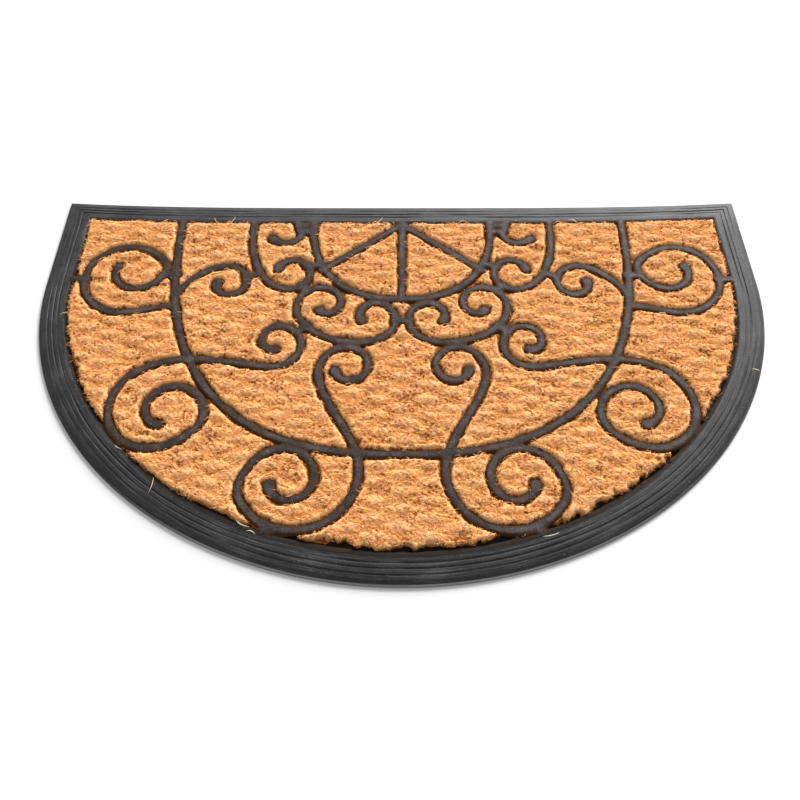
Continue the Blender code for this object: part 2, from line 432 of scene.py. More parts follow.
def close_below(bm, level):
    """Drops walls from the mesh's open edges to a level and closes it there."""
    open_pinches(bm)
    grown = bmesh.ops.extrude_edge_only(bm, edges=boundary_edges(bm))["geom"]
    lowest = [item for item in grown if isinstance(item, bmesh.types.BMVert)]
    for vertex in lowest:
        vertex.co.z = level
    numbers = {vertex: number for number, vertex in enumerate(lowest)}
    lines = []
    for edge in boundary_edges(bm):
        loop = edge.link_loops[0]
        lines.append((numbers[loop.vert], numbers[loop.link_loop_next.vert]))
    plan = [vertex.co.xy / MM for vertex in lowest]
    faces = delaunay_2d_cdt(plan, lines, [], WITHIN_OUTLINE, SAME_POINT)[2]
    triangles = [tuple(face) for face in faces]
    for triangle in left_of_lines(triangles, lines):
        bm.faces.new([lowest[number] for number in triangle])
    bmesh.ops.recalc_face_normals(bm, faces=bm.faces)


def add_attribute(mesh, name, values):
    layer = mesh.attributes.new(name, "FLOAT", "POINT")
    layer.data.foreach_set("value", np.ascontiguousarray(values, dtype=np.float32))


def new_object(name, mesh, *materials):
    for material in materials:
        mesh.materials.append(material)
    result = bpy.data.objects.new(name, mesh)
    bpy.context.scene.collection.objects.link(result)
    return result


# Node trees written as expressions

class Value:
    """A number socket of a node tree. Arithmetic on it adds Math nodes."""

    def __init__(self, tree, socket):
        self.tree = tree
        self.socket = socket

    def math(self, operation, *others):
        values = dict(enumerate((self, *others)))
        return self.tree.number("ShaderNodeMath", {"operation": operation}, values)

    def __add__(self, other):
        return self.math("ADD", other)

    def __sub__(self, other):
        return self.math("SUBTRACT", other)

    def __mul__(self, other):
        return self.math("MULTIPLY", other)

    def __truediv__(self, other):
        return self.math("DIVIDE", other)

    def __pow__(self, other):
        return self.math("POWER", other)

    def __rsub__(self, other):
        return self.tree.number("ShaderNodeMath", {"operation": "SUBTRACT"}, {0: other, 1: self})

    __radd__ = __add__
    __rmul__ = __mul__

    def clamped(self):
        return self.tree.number("ShaderNodeClamp", {}, {"Value": self})

    def fade(self, low, high):
        """0 below low, 1 above high and a soft step between."""
        settings = {"interpolation_type": "SMOOTHSTEP"}
        return self.tree.number("ShaderNodeMapRange", settings, {"Value": self, 1: low, 2: high})


class Tree:
    """A node tree: node() takes a node's type, its settings, and its sockets' values or links."""

    def __init__(self, node_tree):
        self.tree = node_tree

    def node(self, kind, settings=None, values=None):
        made = self.tree.nodes.new(kind)
        for name, setting in (settings or {}).items():
            setattr(made, name, setting)
        for name, value in (values or {}).items():
            self.put(made.inputs[name], value)
        return made

    def put(self, socket, value):
        if isinstance(value, Value):
            value = value.socket
        if isinstance(value, bpy.types.NodeSocket):
            self.tree.links.new(value, socket)
        else:
            socket.default_value = value

    def number(self, kind, settings=None, values=None, output=0):
        return Value(self, self.node(kind, settings, values).outputs[output])

    def carried(self, name):
        """A number that the geometry carries under a name."""
        return self.number("GeometryNodeInputNamedAttribute", {"data_type": "FLOAT"}, {"Name": name})

    def store(self, geometry, name, value, domain):
        settings = {"data_type": "FLOAT", "domain": domain}
        values = {"Geometry": geometry, "Name": name, "Value": value}
        return self.node("GeometryNodeStoreNamedAttribute", settings, values).outputs[0]

    def output(self, geometry, material):
        """Shades the geometry smooth, gives it its material and makes it the group's result."""
        smooth = self.node("GeometryNodeSetShadeSmooth", {}, {"Geometry": geometry})
        real = self.node("GeometryNodeRealizeInstances", {}, {"Geometry": smooth.outputs[0]})
        values = {"Geometry": real.outputs[0], "Material": material}
        coloured = self.node("GeometryNodeSetMaterial", {}, values)
        self.put(self.node("NodeGroupOutput").inputs[0], coloured.outputs[0])

    def vector(self, x, y, z):
        return self.node("ShaderNodeCombineXYZ", {}, {0: x, 1: y, 2: z}).outputs[0]

    def parts(self, vector):
        """The x, y and z of a vector as numbers."""
        return [Value(self, part) for part in self.node("ShaderNodeSeparateXYZ", {}, {0: vector}).outputs]

    def scaled(self, vector, factor):
        values = {0: vector, "Scale": factor}
        return self.node("ShaderNodeVectorMath", {"operation": "SCALE"}, values).outputs[0]


# Materials

class Finish(Tree):
    """A Principled material whose textures read Object coordinates in millimetres."""

    def __init__(self, name):
        self.material = bpy.data.materials.new(name)
        self.material.use_nodes = True
        super().__init__(self.material.node_tree)
        self.shader = self.tree.nodes["Principled BSDF"]
        self.place = self.scaled(self.node("ShaderNodeTexCoord").outputs["Object"], 1.0 / MM)

    def stretched(self, x, y, z):
        values = {0: self.place, 1: (x, y, z)}
        return self.node("ShaderNodeVectorMath", {"operation": "MULTIPLY"}, values).outputs[0]

    def noise(self, frequency, detail=3.0, roughness=0.55, place=None):
        values = {
            "Vector": self.place if place is None else place,
            "Scale": frequency,
            "Detail": detail,
            "Roughness": roughness,
        }
        return self.number("ShaderNodeTexNoise", {}, values)

    def attribute(self, name):
        return self.number("ShaderNodeAttribute", {"attribute_name": name}, {}, output="Fac")

    def mixed(self, share, colour, tint):
        """The colour, a share of which has turned to the tint."""
        values = {"Factor": share, 6: colour, 7: (*tint, 1.0)}
        return self.node("ShaderNodeMix", {"data_type": "RGBA"}, values).outputs[2]

    def ramp(self, share, *stops):
        """Colour ramp; each stop is its place and a colour."""
        made = self.node("ShaderNodeValToRGB", {}, {"Fac": share})
        elements = made.color_ramp.elements
        while len(elements) < len(stops):
            elements.new(0.5)
        for element, (at, colour) in zip(elements, stops):
            element.position = at
            element.color = (*colour, 1.0)
        return made.outputs["Color"]

    def set(self, **values):
        for name, value in values.items():
            self.put(self.shader.inputs[name.replace("_", " ")], value)

    def bump(self, height, distance, strength=1.0):
        values = {"Height": height, "Distance": distance, "Strength": strength}
        return self.node("ShaderNodeBump", {}, values).outputs["Normal"]


# The first colour below is painted shade: near-black laid along the rim's inner edge, where the coir
# shades the rim.
PAINTED_CREVICE_SHADE = (0.010, 0.005, 0.002)
# The next colour is partly painted shade and partly coir dust: the dark brown down the bars' sides.
BAR_SIDE_SHADE_AND_DUST = (0.062, 0.026, 0.009)
RUBBER_DARK = (0.010, 0.010, 0.011)
RUBBER_MID = (0.020, 0.020, 0.021)
RUBBER_DUSTY = (0.062, 0.059, 0.060)
RUBBER_SPECK = (0.22, 0.19, 0.17)
RUBBER_LIP = (0.21, 0.205, 0.205)
BAR_DARK = (0.011, 0.009, 0.009)
BAR_MID = (0.022, 0.019, 0.019)
BAR_DUSTY = (0.070, 0.060, 0.060)

# Places in millimetres: the dusty strip beside the coir, the pale outer lip, and where along Y the looks
# of the front and of the sides fade out
DUSTY_WIDTH = 9.0
LIP_FADE = (0.8, 2.4)
FRONT_FADE = (-210.0, -60.0)
BACK_FADE = (110.0, 190.0)


def rubber_finish():
    """Rubber of the bars: dusty in patches along the crest, lighter along it as a painted highlight, and
    dark down the sides with painted shade mixed with coir dust.
    """
    finish = Finish("moulded_black_rubber")
    blotches = finish.noise(0.07, detail=4.0, roughness=0.6)
    speckle = finish.noise(0.45, detail=3.0, roughness=0.7)
    crest = (finish.attribute("inward") + (speckle - 0.5) * 0.6).fade(0.14, 0.75)
    # The crest term is a painted highlight: the bars are lighter along their crests.
    shade = blotches * 0.5 + speckle * 0.35 + crest * 0.15
    colour = finish.ramp(shade, (0.44, BAR_DARK), (0.55, BAR_MID), (0.66, BAR_DUSTY))
    coir_dust = finish.noise(0.05, detail=3.0, place=finish.stretched(1.0, 1.0, 9.0)).fade(0.46, 0.62)
    # Painted shade mixed with coir dust darkens the sides; on the crest there are only patches of coir
    # dust.
    colour = finish.mixed((1.0 - crest) * 0.9 + coir_dust * crest * 0.4, colour, BAR_SIDE_SHADE_AND_DUST)
    grains = finish.noise(0.6, detail=1.0, roughness=0.5).fade(0.68, 0.74)
    colour = finish.mixed(grains * blotches * crest, colour, RUBBER_SPECK)
    finish.set(Base_Color=colour, Roughness=0.95 - 0.3 * crest, Specular_IOR_Level=0.22)
    finish.set(Normal=finish.bump(speckle + 2.0 * blotches, 0.0005, 0.8))
    return finish.material


def rim_finish():
    """Rubber of the rim, brushed and scuffed along its run, paler on its thin outer lip at the front,
    with near-black painted shade along its inner edge beside the coir.
    """
    finish = Finish("worn_rim_rubber")
    along = finish.attribute("along")
    across = finish.attribute("across")
    run = finish.vector(along * 0.02, across * 0.6, 0.0)
    fine_run = finish.vector(along * 0.05, across * 1.4, 7.0)
    streaks = finish.noise(1.0, detail=3.0, roughness=0.6, place=run)
    scratches = finish.noise(1.0, detail=2.0, roughness=0.5, place=fine_run).fade(0.60, 0.70)
    blotches = finish.noise(0.035, detail=4.0, roughness=0.6)
    speckle = finish.noise(0.5, detail=3.0, roughness=0.7)
    shade = streaks * 0.45 + blotches * 0.35 + speckle * 0.2
    colour = finish.ramp(shade, (0.38, RUBBER_DARK), (0.51, RUBBER_MID), (0.66, RUBBER_DUSTY))
    colour = finish.mixed(scratches * blotches * 0.5, colour, RUBBER_SPECK)
    inner = across.fade(RIM_WIDTH - DUSTY_WIDTH, RIM_WIDTH)
    dust = (finish.noise(0.55, detail=2.0, roughness=0.5) + inner * 0.09).fade(0.69, 0.76)
    colour = finish.mixed(dust * 0.6, colour, RUBBER_SPECK)
    x, y, _ = finish.parts(finish.place)
    front = 1.0 - y.fade(*FRONT_FADE)
    sideways = x * 0.01
    middle = 1.0 - (sideways * sideways).fade(2.5, 9.0)
    # Paler grey along the thin outer lip, at the front middle only.
    lip = (1.0 - across.fade(*LIP_FADE)) * front * middle
    colour = finish.mixed(lip * 0.9, colour, RUBBER_LIP)
    # Painted shade: a ragged near-black band along the rim's inner edge, where the coir shades it; widest
    # at the front, gone at the back.
    from_coir = (RIM_WIDTH - across) / (front * 3.5 + blotches * 4.0 + 0.8)
    painted_shade_beside_coir = (1.0 - from_coir.fade(0.7, 1.25)) * (1.0 - y.fade(*BACK_FADE))
    colour = finish.mixed(painted_shade_beside_coir * (front * 0.2 + 0.75), colour, PAINTED_CREVICE_SHADE)
    rough = 0.45 + 0.3 * streaks + 0.3 * painted_shade_beside_coir
    finish.set(Base_Color=colour, Roughness=rough, Specular_IOR_Level=0.35)
    finish.set(Normal=finish.bump(streaks + 0.6 * speckle, 0.0007, 1.0))
    return finish.material


# The first coir colour is painted shade: the dark brown of the shaded pits between the strands, and the
# darkest stop of the ground.
COIR_PIT_SHADE = (0.25, 0.062, 0.004)
COIR_BROWN = (0.61, 0.195, 0.020)
COIR_GOLD = (0.915, 0.458, 0.166)
COIR_PALE = (0.925, 0.555, 0.330)


def pit_shaded(finish, colour, hollow, amount):
    """Darkens a coir colour with painted shade in the small pits between the strands, more of them in the
    hollows.
    """
    flat = finish.stretched(0.30, 0.36, 0.0)
    spots = finish.noise(1.0, detail=3.0, roughness=0.65, place=flat)
    patches = finish.noise(0.07, detail=2.0)
    pit_shade = (spots + (patches - 0.5) * 0.6 + hollow * 0.12).fade(0.58, 0.72)
    return finish.mixed(pit_shade * amount, colour, COIR_PIT_SHADE)


def coir_finish():
    """Ground of the coir under its loose fibres: strands along the rows, painted shade in the hollows, in
    the pits between the strands and right at its edges, and a painted highlight just inside its edges.
    """
    finish = Finish("coir_ground")
    strands = finish.noise(1.0, detail=4.0, roughness=0.7, place=finish.stretched(0.55, 0.9, 0.7))
    clouds = finish.noise(0.02, detail=3.0)
    height = finish.attribute("height")
    # Painted highlight: the ground is lighter within a few millimetres of its edges.
    edge = 1.0 - finish.attribute("gap").fade(1.0, 4.0)
    shade = height * 0.4 + strands * 0.6 + clouds * 0.2 + edge * 0.1 - 0.14
    colour = finish.ramp(shade, (0.12, COIR_PIT_SHADE), (0.34, COIR_BROWN), (0.55, COIR_GOLD), (0.9, COIR_PALE))
    colour = pit_shaded(finish, colour, 1.0 - height, 0.9)
    finish.set(Base_Color=colour, Roughness=0.9, Specular_IOR_Level=0.0)
    finish.set(Normal=finish.bump(strands, 0.0012, 0.9))
    return finish.material


def fibre_finish(name, brown_share, pale_share):
    """Loose fibres from brown over gold to pale, each with a shade of its own, darkened by painted shade
    in the hollows and in the pits between the strands.
    """
    finish = Finish(name)
    shade = finish.attribute("shade")
    height = finish.attribute("height")
    flecks = finish.noise(0.25, detail=2.0)
    # Painted shade: a fibre is darker where the coir under it lies low.
    shade = shade * 0.68 + flecks * 0.2 + height * 0.3 - 0.07
    gold = ((brown_share, COIR_GOLD), (1.0 - pale_share, COIR_GOLD))
    colour = finish.ramp(shade, (0.0, COIR_BROWN), *gold, (1.0, COIR_PALE))
    colour = pit_shaded(finish, colour, 1.0 - height, 0.85)
    finish.set(Base_Color=colour, Roughness=0.8, Specular_IOR_Level=0.03)
    return finish.material


# Rubber rim and backing sheet

RIM_SECTION = (
    # inset, height
    (0.0, 1.9),
    (0.4, 2.5),
    (2.2, 2.8),
    (3.0, 3.5),
    (5.0, 4.6),
    (9.3, 5.7),
    (12.0, 6.3),
    (14.6, 6.6),
    (17.0, 7.0),
    (19.4, 7.2),
    (23.5, 7.75),
    (26.0, 7.9),
    (27.6, 7.5),
    (28.8, 6.6),
    (29.5, 5.6),
)
OUTER_INSETS = (0.0, 0.2, 0.4, 1.2, 2.2, 2.6, 3.0, 3.8, 5.0, 6.4, 12.0, 17.0)
INNER_INSETS = (22.0, 23.5, 24.8, 26.0, 26.9, 27.6, 28.3, 28.8, 29.2, 29.5)
RIM_GROOVES = (9.3, 14.6, 19.4)
GROOVE_DEPTH = 0.75
GROOVE_HALF_WIDTH = 0.7
GROOVE_SIDES = (-2.0, -1.3, -0.8, -0.4, 0.0, 0.4, 0.8, 1.3, 2.0)
GROOVE_WEAR = 0.65
GROOVE_WEAR_CHANGE = 0.75
GROOVE_WEAR_LEAST = 0.1
GROOVE_WEAR_SIZE = 38.0
GROOVE_WEAR_SEED = 41
RIM_STATIONS = 220
BACK_STATIONS = 40
RIM_LIP = 2.0
RIM_UNEVENNESS = 0.18
RIM_UNEVENNESS_SIZE = 24.0
RIM_UNEVENNESS_SEED = 11
RIM_SHARP_DEGREES = 50.0


def rim_insets():
    """Distances from the outer edge at which the section is taken, close together in the grooves."""
    in_grooves = [groove + side * GROOVE_HALF_WIDTH for groove in RIM_GROOVES for side in GROOVE_SIDES]
    return sorted([*OUTER_INSETS, *INNER_INSETS, *in_grooves])


def rim_heights(inset, x, y):
    """Height of the section at stations round the mat. The grooves are worn away here and there."""
    insets, heights = np.array(RIM_SECTION).T
    height = np.full(len(x), np.interp(inset, insets, heights))
    for number, groove in enumerate(RIM_GROOVES):
        luck = soft_noise(x, y, GROOVE_WEAR_SIZE, GROOVE_WEAR_SEED + number)
        wear = np.clip(GROOVE_WEAR + GROOVE_WEAR_CHANGE * luck, GROOVE_WEAR_LEAST, 1.0)
        height -= GROOVE_DEPTH * wear * math.exp(-((inset - groove) / GROOVE_HALF_WIDTH) ** 4)
    if RIM_LIP < inset < RIM_WIDTH:
        height += RIM_UNEVENNESS * soft_noise(x, y, RIM_UNEVENNESS_SIZE, RIM_UNEVENNESS_SEED)
    return height


def rubber_rim():
    """Rings of the section run round the mat, closed by one face below and one over the backing sheet."""
    outer = mat_outline(0.0, RIM_STATIONS, BACK_STATIONS)
    inner = mat_outline(RIM_WIDTH, RIM_STATIONS, BACK_STATIONS)
    rings = [(outer, np.zeros(len(outer)), 0.0)]
    for inset in rim_insets():
        outline = mat_outline(inset, RIM_STATIONS, BACK_STATIONS)
        rings.append((outline, rim_heights(inset, *outer.T), inset))
    rings.append((inner, np.full(len(inner), BACKING_HEIGHT), RIM_WIDTH))
    steps = np.hypot(*np.diff(np.vstack((outer, outer[:1])), axis=0).T)
    along = np.concatenate(([0.0], np.cumsum(steps)[:-1]))
    bm = bmesh.new()
    across_layer = bm.verts.layers.float.new("across")
    along_layer = bm.verts.layers.float.new("along")
    rows = []
    for outline, heights, inset in rings:
        row = []
        for (x, y), height, distance in zip(outline, heights, along):
            vertex = bm.verts.new((x * MM, y * MM, height * MM))
            vertex[across_layer] = inset
            vertex[along_layer] = distance
            row.append(vertex)
        rows.append(row)
    for lower, upper in zip(rows, rows[1:]):
        for here in range(len(lower)):
            after = (here + 1) % len(lower)
            bm.faces.new((lower[here], lower[after], upper[after], upper[here]))
    bm.faces.new(list(reversed(rows[0])))
    bm.faces.new(rows[-1])
    bmesh.ops.recalc_face_normals(bm, faces=bm.faces)
    mesh = bpy.data.meshes.new("rubber_rim")
    bm.to_mesh(mesh)
    bm.free()
    mesh.shade_smooth()
    mesh.set_sharp_from_angle(angle=math.radians(RIM_SHARP_DEGREES))
    return new_object("rubber_rim", mesh, rim_finish())


# Raised bars

BAR_GRID = 0.95
BAR_EDGE_HEIGHT = 6.3
BAR_ROUNDNESS = 3.2
BAR_SINK_IN_RIM = 5.0
BAR_TOP_IN_RIM = 7.4
BAR_SINK_IN_COIR = 0.6
CREST_UNEVENNESS = 0.12
CREST_UNEVENNESS_SIZE = 6.0
CREST_UNEVENNESS_SEED = 23
BAR_SHARP_DEGREES = 70.0


def scrollwork():
    """One moulded web of all the bars, from their sides up, with soft webs where they meet."""
    grid = PlanGrid(BAR_GRID)
    into_rim = np.clip(-grid.rim / BAR_SINK_IN_RIM, 0.0, 1.0)
    field = np.minimum(-grid.bars, grid.rim + BAR_SINK_IN_RIM)
    mesh, used = clipped_mesh("scrollwork", grid, field)
    inward = np.clip(-grid.on_edge(grid.bars) / BAR_HALF_WIDTH, 0.0, 1.0).ravel()[used]
    add_attribute(mesh, "inward", inward)
    crest = BAR_TOP - (BAR_TOP - BAR_TOP_IN_RIM) * into_rim.ravel()[used]
    crown = (1.0 - (1.0 - inward) ** BAR_ROUNDNESS) ** (1.0 / BAR_ROUNDNESS)
    height = BAR_EDGE_HEIGHT + (crest - BAR_EDGE_HEIGHT) * crown
    uneven = soft_noise(grid.x, grid.y, CREST_UNEVENNESS_SIZE, CREST_UNEVENNESS_SEED)
    height += CREST_UNEVENNESS * uneven.ravel()[used]
    points = np.empty(len(mesh.vertices) * 3)
    mesh.vertices.foreach_get("co", points)
    points[2::3] = height * MM
    mesh.vertices.foreach_set("co", points)
    bm = bmesh.new()
    bm.from_mesh(mesh)
    close_below(bm, (BAR_BOTTOM - BAR_SINK_IN_COIR) * MM)
    bm.to_mesh(mesh)
    bm.free()
    mesh.shade_smooth()
    mesh.set_sharp_from_angle(angle=math.radians(BAR_SHARP_DEGREES))
    return new_object("scrollwork", mesh, rubber_finish())


# Woven coir

COIR_GRID = 1.5
COIR_BOTTOM = 2.6
ROW_PITCH = 8.7
FLOAT_LENGTH = 48.8
YARN_TOP = COIR_TOP - 0.5
YARN_RADIUS = 9.2
YARN_LIFT = 0.88
LIFT_LEAST = 0.65
LIFT_CHANGE = 0.7
ROW_BLEND = 0.5
TWIST_LENGTH = 6.5
TWIST_DEPTH = 0.42
TWIST_SLANT = 0.9
TWIST_STEP = 0.37

# How the coir falls to its edges: a steep wall, then a shoulder up to where the yarns have full height
WALL = 1.0
WALL_SHARE = 0.7
SHOULDER = 2.2
SHOULDER_POWER = 2.2
YARNS_FROM_EDGE = 4.0

# Painted light and shade of the coir, by its height: darker in the hollows and right at its edges,
# lighter on the rows' tops and just inside its edges
TONE_PER_MM = 0.22
TONE_MIDDLE = 0.75
TONE_AT_EDGE = 0.85

# The coir's edges: their heights, how far they reach under the bars, and the crevices beside bars and rim
COIR_LOW_AT_BARS = 5.8
COIR_LOW_AT_RIM = 2.7
UNDER_BARS = 1.6
BAR_CREVICE = 0.6
BAR_CREVICE_CHANGE = 1.3
BAR_CREVICE_SIZE = 8.0
BAR_CREVICE_SEED = 37
RIM_CREVICE = 3.4
RIM_CREVICE_LEAST = 0.2
TUFT_DEPTH = 3.0
TUFT_SIZE = 5.5
TUFT_SEED = 31
CREVICE_CHANGE = 2.6
CREVICE_CHANGE_SIZE = 26.0
CREVICE_CHANGE_SEED = 33

# Where the crevice beside the rim gapes: widest along the front, shut along the back, and tight in one
# place on the left
SIDE_SHARE = 0.6
FRONT_SHARE = 0.4
FRONT_LENGTH = 150.0
SHUT_Y = 205.0
SHUT_LENGTH = 50.0
SHUT_SHARE = 0.15
TIGHT_X = -225.0
TIGHT_Y = -110.0
TIGHT_REACH = 110.0
TIGHT_FLAT = 1.3
TIGHT_SHARE = 0.8


def geometry_group(name, *inputs):
    """An empty geometry node group. Each input is its name and its kind of socket."""
    group = bpy.data.node_groups.new(name, "GeometryNodeTree")
    face = group.interface
    for label, kind in (("Geometry", "Geometry"), *inputs, ("Material", "Material")):
        face.new_socket(label, in_out="INPUT", socket_type="NodeSocket" + kind)
    face.new_socket("Geometry", in_out="OUTPUT", socket_type="NodeSocketGeometry")
    return group


def weave_tree():
    """Lifts a flat mesh into rows of yarn: each row bows over and under, half a step from the next."""
    names = ("Row Pitch", "Float Length", "Yarn Radius", "Yarn Lift", "Top")
    group = geometry_group("woven_coir", *((name, "Float") for name in names))
    tree = Tree(group)
    given = tree.node("NodeGroupInput").outputs
    pitch, length, radius, lift, top = (Value(tree, given[name]) for name in names)
    position = tree.scaled(tree.node("GeometryNodeInputPosition").outputs[0], 1.0 / MM)
    flat_x, flat_y, _ = tree.parts(position)

    def wander(frequency, amount, offset):
        """Smooth random distance, whose noise is taken at an offset of its own."""
        moved = tree.node("ShaderNodeVectorMath", {"operation": "ADD"}, {0: position, 1: offset})
        values = {"Vector": moved.outputs[0], "Scale": frequency, "Detail": 2.0}
        return (tree.number("ShaderNodeTexNoise", {}, values) - 0.5) * amount

    x = flat_x + wander(0.02, 14.0, (0.0, 0.0, 0.0)) + wander(0.06, 10.0, (0.0, 0.0, 90.0))
    y = flat_y + wander(0.025, 5.0, (300.0, 0.0, 0.0)) + wander(0.07, 4.0, (0.0, 0.0, 50.0))
    row = (y / pitch + 0.5).math("FLOOR")
    heights = []
    for step in (-1.0, 0.0, 1.0):
        this_row = row + step
        odd = this_row.math("FLOORED_MODULO", 2.0)
        turns = x / length + odd * 0.5
        key = tree.vector(this_row, turns.math("FLOOR"), 3.7)
        luck = tree.number("ShaderNodeTexWhiteNoise", {"noise_dimensions": "3D"}, {"Vector": key})
        bow = (turns * (2.0 * math.pi)).math("COSINE") * lift * (luck * LIFT_CHANGE + LIFT_LEAST)
        away = y - this_row * pitch
        round_top = (radius * radius - away * away).math("MAXIMUM", 0.0).math("SQRT") - radius
        twist = ((x + away * TWIST_SLANT) / TWIST_LENGTH + this_row * TWIST_STEP) * (2.0 * math.pi)
        heights.append(bow + round_top + twist.math("COSINE") * TWIST_DEPTH)
    surface = heights[0]
    for height in heights[1:]:
        surface = surface.math("SMOOTH_MAX", height, ROW_BLEND)
    surface = surface + wander(0.12, 1.4, (0.0, 300.0, 0.0)) + wander(0.35, 1.7, (0.0, 500.0, 0.0))
    gap = tree.carried("gap")
    low = tree.carried("low")
    wall = (gap / WALL).clamped()
    shoulder = 1.0 - (1.0 - (gap / SHOULDER).clamped()) ** SHOULDER_POWER
    risen = wall * WALL_SHARE + shoulder * (1.0 - WALL_SHARE)
    raised = low + (top - low) * risen + surface * (gap / YARNS_FROM_EDGE).clamped()
    metres = tree.scaled(tree.vector(flat_x, flat_y, raised), MM)
    # The tone stored as 'height' is painted light and shade: low in the hollows and right at the edges,
    # high on the rows' tops and just inside the edges.
    inland = gap.fade(0.5, 5.0)
    tone = (surface * TONE_PER_MM + TONE_MIDDLE) * inland + TONE_AT_EDGE * (1.0 - inland)
    toned = tree.store(given["Geometry"], "height", tone * gap.fade(0.0, 1.0), "POINT")
    moved = tree.node("GeometryNodeSetPosition", {}, {"Geometry": toned, "Position": metres})
    tree.output(moved.outputs[0], given["Material"])
    return group


def grown(name, host, group, **values):
    """Plain mesh object from a node group run on a host object, with the group's inputs set by name."""
    modifier = host.modifiers.new("made", "NODES")
    modifier.node_group = group
    items = group.interface.items_tree
    identifiers = {item.name: item.identifier for item in items if item.in_out == "INPUT"}
    for label, value in values.items():
        modifier[identifiers[label.replace("_", " ")]] = value
    host.update_tag()
    evaluated = host.evaluated_get(bpy.context.evaluated_depsgraph_get())
    mesh = bpy.data.meshes.new_from_object(evaluated)
    mesh.name = name
    host.modifiers.remove(modifier)
    return new_object(name, mesh)


def rim_crevice(x, y):
    """Width of the ragged crevice between rim and coir."""
    ragged = TUFT_DEPTH * soft_noise(x, y, TUFT_SIZE, TUFT_SEED)
    ragged += CREVICE_CHANGE * soft_noise(x, y, CREVICE_CHANGE_SIZE, CREVICE_CHANGE_SEED)
    front = np.clip(FRONT_SHARE - y / FRONT_LENGTH, 0.0, 1.0)
    back = np.clip((SHUT_Y - y) / SHUT_LENGTH, SHUT_SHARE, 1.0)
    tight = np.clip(TIGHT_FLAT - np.hypot(x - TIGHT_X, y - TIGHT_Y) / TIGHT_REACH, 0.0, 1.0)
    openness = (SIDE_SHARE + (1.0 - SIDE_SHARE) * front) * back * (1.0 - TIGHT_SHARE * tight)
    return (RIM_CREVICE + ragged) * openness


def woven_coir():
    """The coir panel: a sheet over the fields between bars and rim, lifted into rows of yarn."""
    grid = PlanGrid(COIR_GRID)
    rim = np.minimum(grid.rim - RIM_CREVICE_LEAST, grid.rim - rim_crevice(grid.x, grid.y))
    uneven = BAR_CREVICE_CHANGE * soft_noise(grid.x, grid.y, BAR_CREVICE_SIZE, BAR_CREVICE_SEED)
    bars = grid.bars - BAR_CREVICE + uneven
    field = np.minimum(rim, bars + UNDER_BARS)
    mesh, used = clipped_mesh("coir_sheet", grid, field, snap_to=bars)
    gap = np.minimum(grid.on_edge(rim), grid.on_edge(bars)).ravel()[used]
    low = np.where(rim < bars, COIR_LOW_AT_RIM, COIR_LOW_AT_BARS).ravel()[used]
    add_attribute(mesh, "gap", gap)
    add_attribute(mesh, "low", low)
    host = new_object("coir_sheet", mesh)
    coir = grown(
        "woven_coir", host, weave_tree(), Row_Pitch=ROW_PITCH, Float_Length=FLOAT_LENGTH,
        Yarn_Radius=YARN_RADIUS, Yarn_Lift=YARN_LIFT, Top=YARN_TOP, Material=coir_finish())
    bpy.data.objects.remove(host, do_unlink=True)
    return coir


def close_coir(coir):
    """Gives the coir its sides and its underside."""
    bm = bmesh.new()
    bm.from_mesh(coir.data)
    close_below(bm, COIR_BOTTOM * MM)
    bm.to_mesh(coir.data)
    bm.free()


# Loose coir fibres

FIBRE_SORTS = (
    # name, fibres per square metre, length mm, radius mm, slant, spread, lift mm, knots, brown, pale
    ("long_fibres", 27000.0, 15.0, 0.38, -10.0, 45.0, 0.35, 4, 0.45, 0.35),
    ("golden_fibres", 41000.0, 10.0, 0.40, -6.0, 90.0, 0.50, 3, 0.40, 0.25),
    ("pale_fibres", 41000.0, 8.0, 0.38, 0.0, 90.0, 0.60, 3, 0.15, 0.70),
    ("brown_fibres", 41000.0, 6.5, 0.36, 0.0, 90.0, 0.60, 3, 0.75, 0.15),
)
FIRST_SEED = 3
SEED_STEP = 17
FIBRE_SIDES = 3
SHORTEST_SHARE = 0.55
LONGEST_SHARE = 1.35
BOW_SHARE = 0.22
LIFT_LUCK = 0.8
TIP_DROP = 1.3
TIP_TAPER = 0.8
SHORT_AT_EDGE = 5.0
REST_ON_RUBBER = 9.0

# The rays that find the coir under a fibre, in metres
RAY_START = 0.03
RAY_LENGTH = 0.05


